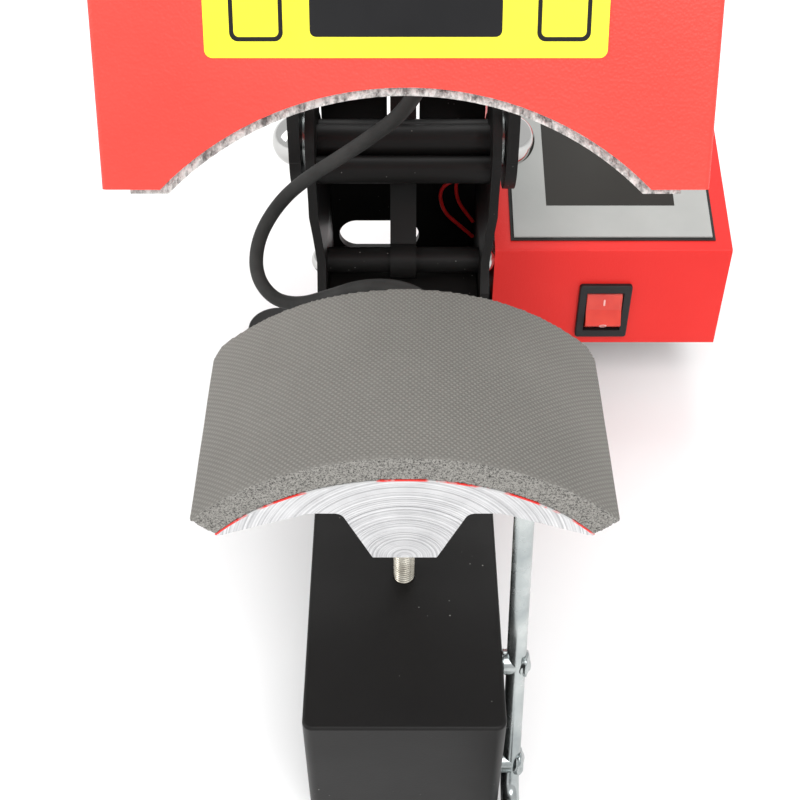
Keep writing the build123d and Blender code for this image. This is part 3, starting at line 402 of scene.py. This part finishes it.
def rocker_red():
    """Translucent red rocker lens."""
    r = Recipe("red_translucent", (0.75, 0.035, 0.02), 0.22, Subsurface_Weight=0.35, Coat_Weight=0.3)
    r.shader.inputs["Subsurface Scale"].default_value = 0.003
    r.color(r.ramp(r.noise(45.0, 3.0), [(0.3, (0.62, 0.02, 0.012)), (0.75, (0.85, 0.07, 0.035))]))
    r.bump(r.noise(300.0, 2.0), 0.00002)
    return r.material


stud_axis_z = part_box("lower_platen")[0].z      # the facing rings run about the foot of the boss
cover_red = red_paint("cover_red", (0.8, 0.062, 0.046), (0.77, 0.052, 0.038), (0.83, 0.074, 0.056), 0.0001)
box_red = red_paint("box_red", (0.78, 0.022, 0.017), (0.75, 0.018, 0.014), (0.81, 0.028, 0.022), 0.00004)
rough_edge = cast_aluminium("heater_aluminium", (0.16, 0.155, 0.15), (0.72, 0.71, 0.69), 520.0, 0.0009,
                            (0.3, 0.6))
looks = {
    "black_powder_coat": black_paint(),
    "red_powder_coat": box_red,
    "zinc_plated": zinc(),
    "polished_chrome": chrome(),
    "aluminium": rough_edge,
    "silicone_foam": foam_skin(),
    "red_adhesive": glue(),
    "black_rubber": rubber("black_rubber", (0.016, 0.016, 0.015)),
    "grey_panel": plastic("grey_panel", (0.4, 0.41, 0.395), 0.5, Specular_IOR_Level=0.15),
    "dark_window": glass_panel(),
    "red_translucent": rocker_red(),
    "black_plastic": plastic("black_plastic", (0.016, 0.016, 0.017), 0.45, Specular_IOR_Level=0.25),
    "circuit_board": board(),
    "insulation": insulation_felt(),
    "yellow_label": plastic("yellow_label", (0.93, 0.83, 0.03), 0.34, 0.00001),
    "red_wire": plastic("red_wire", (0.55, 0.012, 0.012), 0.3),
}
for part in frame["record"]["subparts"]:
    mesh = nodes[part["node"]].data
    mesh.materials.clear()
    mesh.materials.append(looks[part["material_slot"]])
for name, material in (("upper_cover", cover_red), ("lower_platen", faced_aluminium((0, 0, stud_axis_z))),
                       ("platen_stud", stud_steel())):
    nodes[name].data.materials[0] = material


# ---- pieces shaped here ----
def add_piece(name, mesh, body, slot_name, *materials, smooth=True):
    """A finished mesh as a named piece; it rides on body, or stays unattached when body is None."""
    made = bpy.data.objects.new(name, mesh)
    scene.collection.objects.link(made)
    for material in materials:
        mesh.materials.append(material)
    mesh.polygons.foreach_set("use_smooth", [smooth] * len(mesh.polygons))
    if body:
        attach(made, body)
    return made


CABLE_DIAMETER, CABLE_LENGTH = 0.006, 0.3376
CABLE_ROUTE = [            # from the head's gland, round to the left, and down into the beam's gland
    (0.020, 0.146411, 0.279117), (0.020, 0.164372, 0.270318), (0.019, 0.177, 0.250), (0.014, 0.173, 0.222),
    (0.003, 0.168, 0.195), (-0.017, 0.177, 0.172), (-0.043, 0.185, 0.148), (-0.0545, 0.1845, 0.135),
    (-0.0625, 0.179, 0.122), (-0.0635, 0.1695, 0.111), (-0.056, 0.1605, 0.105), (-0.0445, 0.155, 0.1065),
    (-0.0315, 0.1505, 0.115), (-0.016, 0.147, 0.1245), (0.002, 0.143, 0.1265), (0.0145, 0.140, 0.117),
    (0.018, 0.1385, 0.1025), (0.018, 0.138, 0.088)]


def make_cable():
    """The heater cable, limp, from the head's gland down to the beam's."""
    curve = bpy.data.curves.new("heater_cable_line", "CURVE")
    curve.dimensions = "3D"
    curve.resolution_u = 14
    spline = curve.splines.new("NURBS")
    spline.points.add(len(CABLE_ROUTE) - 1)
    for point, at in zip(spline.points, CABLE_ROUTE):
        point.co = (*at, 1)
    spline.order_u = 3
    spline.use_endpoint_u = True
    line = bpy.data.objects.new("heater_cable_line", curve)
    scene.collection.objects.link(line)
    path = [tuple(v.co) for v in bpy.data.meshes.new_from_object(line).vertices]
    curve.bevel_depth = CABLE_DIAMETER / 2
    curve.bevel_resolution = 6
    curve.use_fill_caps = True
    bpy.context.view_layer.update()
    tube = bpy.data.meshes.new_from_object(line.evaluated_get(bpy.context.evaluated_depsgraph_get()))
    bpy.data.objects.remove(line)
    tube.materials.clear()
    cable = add_piece("heater_cable_hanging", tube, None, "black_rubber", looks["black_rubber"])
    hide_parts("heater_cable")
    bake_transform(cable)


PAD_RADIUS = 0.09
FOAM_VOXEL = 0.0006
FINE_CELLS, COARSE_CELLS = 1500.0, 560.0       # noise per metre
FINE_FLOOR, COARSE_FLOOR = 0.05, 0.25          # noise below these leaves the foam unpitted
CELL_DEPTH, TORN_FALL = 0.0008, 1.6
SKIN_SINK, SKIN_SWELL, SKIN_WAVES = 0.0001, 0.00012, 45.0
CUT_LIMIT = 0.62           # a face whose normal lies further than this from radial is a cut one


def make_foam():
    """The pad as soft foam: eased edges, a slightly uneven skin and torn open cells on the cut faces."""
    axis_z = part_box("foam_pad")[1].z - PAD_RADIUS
    block = bpy.data.objects.new("foam_block", nodes["foam_pad"].data.copy())
    scene.collection.objects.link(block)
    remesh = block.modifiers.new("cells", "REMESH")
    remesh.mode = "VOXEL"
    remesh.voxel_size = FOAM_VOXEL
    bpy.context.view_layer.update()
    foam = bpy.data.meshes.new_from_object(block.evaluated_get(bpy.context.evaluated_depsgraph_get()))
    bpy.data.objects.remove(block)
    foam.materials.clear()
    moved = []
    for vertex, normal in zip(foam.vertices, foam.vertex_normals):
        radial = Vector((vertex.co.x, 0, vertex.co.z - axis_z)).normalized()
        on_skin = abs(normal.vector.dot(radial))
        pit = max(0.0, noise.noise(vertex.co * FINE_CELLS) - FINE_FLOOR)
        pit += max(0.0, noise.noise(vertex.co * COARSE_CELLS) - COARSE_FLOOR)
        swell = noise.noise(vertex.co * SKIN_WAVES) * SKIN_SWELL - SKIN_SINK
        torn = max(0.0, 1 - on_skin * TORN_FALL)
        moved.append(vertex.co + normal.vector * (swell - CELL_DEPTH * pit * torn))
    for vertex, at in zip(foam.vertices, moved):
        vertex.co = at
    foam.materials.append(looks["silicone_foam"])
    foam.materials.append(foam_cut())
    for face in foam.polygons:
        radial = Vector((face.center.x, 0, face.center.z - axis_z)).normalized()
        face.material_index = int(abs(face.normal.dot(radial)) < CUT_LIMIT)
    pad = add_piece("foam_pad_soft", foam, "base", "silicone_foam")
    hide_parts("foam_pad")


def rounded(width, height, radius, steps=8):
    """Outline points of a rectangle with round corners."""
    points = []
    for corner, (sx, sy) in enumerate(((1, 1), (-1, 1), (-1, -1), (1, -1))):
        for step in range(steps + 1):
            turn = pi / 2 * (corner + step / steps)
            points.append((sx * (width / 2 - radius) + radius * cos(turn),
                           sy * (height / 2 - radius) + radius * sin(turn)))
    return points


def slab(name, outline, inner, at, right, up, low, high):
    """A flat solid over an outline in the plane at, right, up, from low to high above that plane.
    With inner, it is a ring between the two outlines."""
    out = right.cross(up).normalized()
    mesh = bpy.data.meshes.new(name)
    work = bmesh.new()
    loops = []
    for points, level in ((outline, low), (outline, high), (inner, high), (inner, low)):
        if points is None:
            continue
        loops.append([work.verts.new(at + right * x + up * y + out * level) for x, y in points])
    count = len(outline)
    rims = [(0, 1), (1, 2), (2, 3), (3, 0)] if inner else [(0, 1)]
    for first, second in rims:
        for i in range(count):
            j = (i + 1) % count
            work.faces.new((loops[first][i], loops[first][j], loops[second][j], loops[second][i]))
    if not inner:
        work.faces.new(loops[1])
        work.faces.new(list(reversed(loops[0])))
    bmesh.ops.recalc_face_normals(work, faces=work.faces)
    work.to_mesh(mesh)
    work.free()
    return mesh


def face_of(node, direction):
    """Area-weighted centre and normal of a CAD node's faces that look most nearly along a direction."""
    direction = Vector(direction).normalized()
    faces = nodes[node].data.polygons
    best = max((f for f in faces if f.area > 1e-6), key=lambda f: f.normal.dot(direction))
    flat = [f for f in faces if f.normal.dot(best.normal) > 0.999]
    area = sum(f.area for f in flat)
    centre = sum((f.center * f.area for f in flat), Vector()) / area
    return centre, best.normal.copy()


INK_SUNK, INK_PROUD = 0.00002, 0.00006


def make_label():
    """Plain dark shapes printed on the yellow plate: a bar between two blank framed squares.
    Their sizes and places are shares of the plate's width or height."""
    ink = plastic("label_ink", (0.014, 0.014, 0.015), 0.5, 0.00001, Specular_IOR_Level=0.1)
    low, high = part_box("label_plate")
    _, normal = face_of("label_plate", (0, -1, 0.4))
    right = Vector((1, 0, 0))
    up = normal.cross(right)
    corners = [v.co for v in nodes["label_plate"].data.vertices]
    heights = [c.dot(up) for c in corners]
    tall = max(heights) - min(heights)
    middle = Vector(((low.x + high.x) / 2, 0, 0)) + up * (max(heights) + min(heights)) / 2
    middle += normal * max(c.dot(normal) for c in corners)
    wide = high.x - low.x
    bar = rounded(wide * 0.475, tall * 0.42, tall * 0.06)
    square = rounded(tall * 0.5, tall * 0.5, tall * 0.08)
    hole = rounded(tall * 0.42, tall * 0.42, tall * 0.05)
    pieces = (("label_bar", bar, None, 0.0), ("label_square_left", square, hole, -0.37),
              ("label_square_right", square, hole, 0.39))
    for name, outline, inner, shift in pieces:
        at = middle + right * wide * shift - up * tall * 0.1
        mesh = slab(name, outline, inner, at, right, up, -INK_SUNK, INK_PROUD)
        add_piece(name, mesh, "press_head", "black_plastic", ink, smooth=False)


def lump(name, at, size, seed, body, slot_name, material):
    """A weld bead: a small rounded lump with an uneven skin."""
    work = bmesh.new()
    bmesh.ops.create_icosphere(work, subdivisions=4, radius=1.0)
    for vertex in work.verts:
        push = 1 + 0.22 * noise.noise(vertex.co * 1.6 + Vector((seed, 0, 0)))
        push += 0.06 * noise.noise(vertex.co * 5.0 + Vector((0, seed, 0)))
        vertex.co = at + Vector((c * s for c, s in zip(vertex.co * push, size)))
    mesh = bpy.data.meshes.new(name)
    work.to_mesh(mesh)
    work.free()
    add_piece(name, mesh, body, slot_name, material)


STUD_PITCH, THREAD_DEPTH = 0.00125, 0.0006
STUD_SIDES, ROWS_PER_TURN = 36, 8


def make_stud():
    """The platen's stud with its real thread, cut as one helix from end to end."""
    low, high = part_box("platen_stud")
    centre = (low + high) / 2
    crest, tall = (high.x - low.x) / 2, high.z - low.z
    rows = int(tall / STUD_PITCH * ROWS_PER_TURN)
    points, faces = [], []
    for row in range(rows + 1):
        z = low.z + tall * row / rows
        ease = min(1.0, (z - low.z) / STUD_PITCH, (high.z - z) / STUD_PITCH)
        for step in range(STUD_SIDES):
            phase = ((z - low.z) / STUD_PITCH - step / STUD_SIDES) % 1.0
            radius = crest - THREAD_DEPTH * (1 - abs(2 * phase - 1)) - THREAD_DEPTH * (1 - ease)
            turn = 2 * pi * step / STUD_SIDES
            points.append((centre.x + radius * cos(turn), centre.y + radius * sin(turn), z))
    for first in range(0, rows * STUD_SIDES, STUD_SIDES):
        for step in range(STUD_SIDES):
            after = (step + 1) % STUD_SIDES
            faces.append((first + step, first + after, first + STUD_SIDES + after, first + STUD_SIDES + step))
    faces.append(tuple(reversed(range(STUD_SIDES))))
    faces.append(tuple(range(rows * STUD_SIDES, (rows + 1) * STUD_SIDES)))
    mesh = bpy.data.meshes.new("platen_stud_threaded")
    mesh.from_pydata(points, [], faces)
    steel = nodes["platen_stud"].data.materials[0]
    stud = add_piece("platen_stud_threaded", mesh, "base", "zinc_plated", steel)
    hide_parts("platen_stud")


MARK_SUNK, MARK_PROUD = 0.0001, 0.00012
DASH = (0.0008, 0.0034, 0.00035)               # width, height, corner radius
RING_OUTSIDE, RING_INSIDE = (0.0036, 0.0036, 0.0017), (0.0024, 0.0024, 0.0011)
MARK_TILT = 0.35                               # rise of the direction that picks the rocker's upper face


def make_rocker_marks():
    """A pale dash on the rocker's upper face and a pale ring near its lower edge."""
    pale = plastic("rocker_mark", (0.85, 0.5, 0.47), 0.4, 0.00001)
    right = Vector((1, 0, 0))
    marks = ((MARK_TILT, "rocker_dash", rounded(*DASH), None),
             (-MARK_TILT, "rocker_ring", rounded(*RING_OUTSIDE), rounded(*RING_INSIDE)))
    for tilt, name, outline, inner in marks:
        centre, normal = face_of("rocker", (0, -1, tilt))
        up = normal.cross(right)
        mesh = slab(name, outline, inner, centre, right, up, -MARK_SUNK, MARK_PROUD)
        add_piece(name, mesh, "power_rocker", "red_translucent", pale, smooth=False)


WELDS = (                  # name, place from the hold-down's pivot peg, seed of its skin
    ("weld_upper", (0.0025, 0, 0), 2.1),
    ("weld_lower", (0.0025, -0.015, -0.044), 9.4),
)
WELD_SIZE = (0.0026, 0.0052, 0.0058)


def make_welds():
    """Plated weld beads where the two pegs meet the hold-down bar."""
    joints = frame["record"]["behaviour"]["joints"]
    peg = Vector(next(joint["pos_m"] for joint in joints if joint["name"] == "hold_down_swing"))
    for name, offset, seed in WELDS:
        at = peg + Vector(offset)
        lump(name, at, WELD_SIZE, seed, "cap_hold_down", "zinc_plated", looks["zinc_plated"])


make_cable()
make_foam()
make_label()
make_stud()
make_rocker_marks()
make_welds()
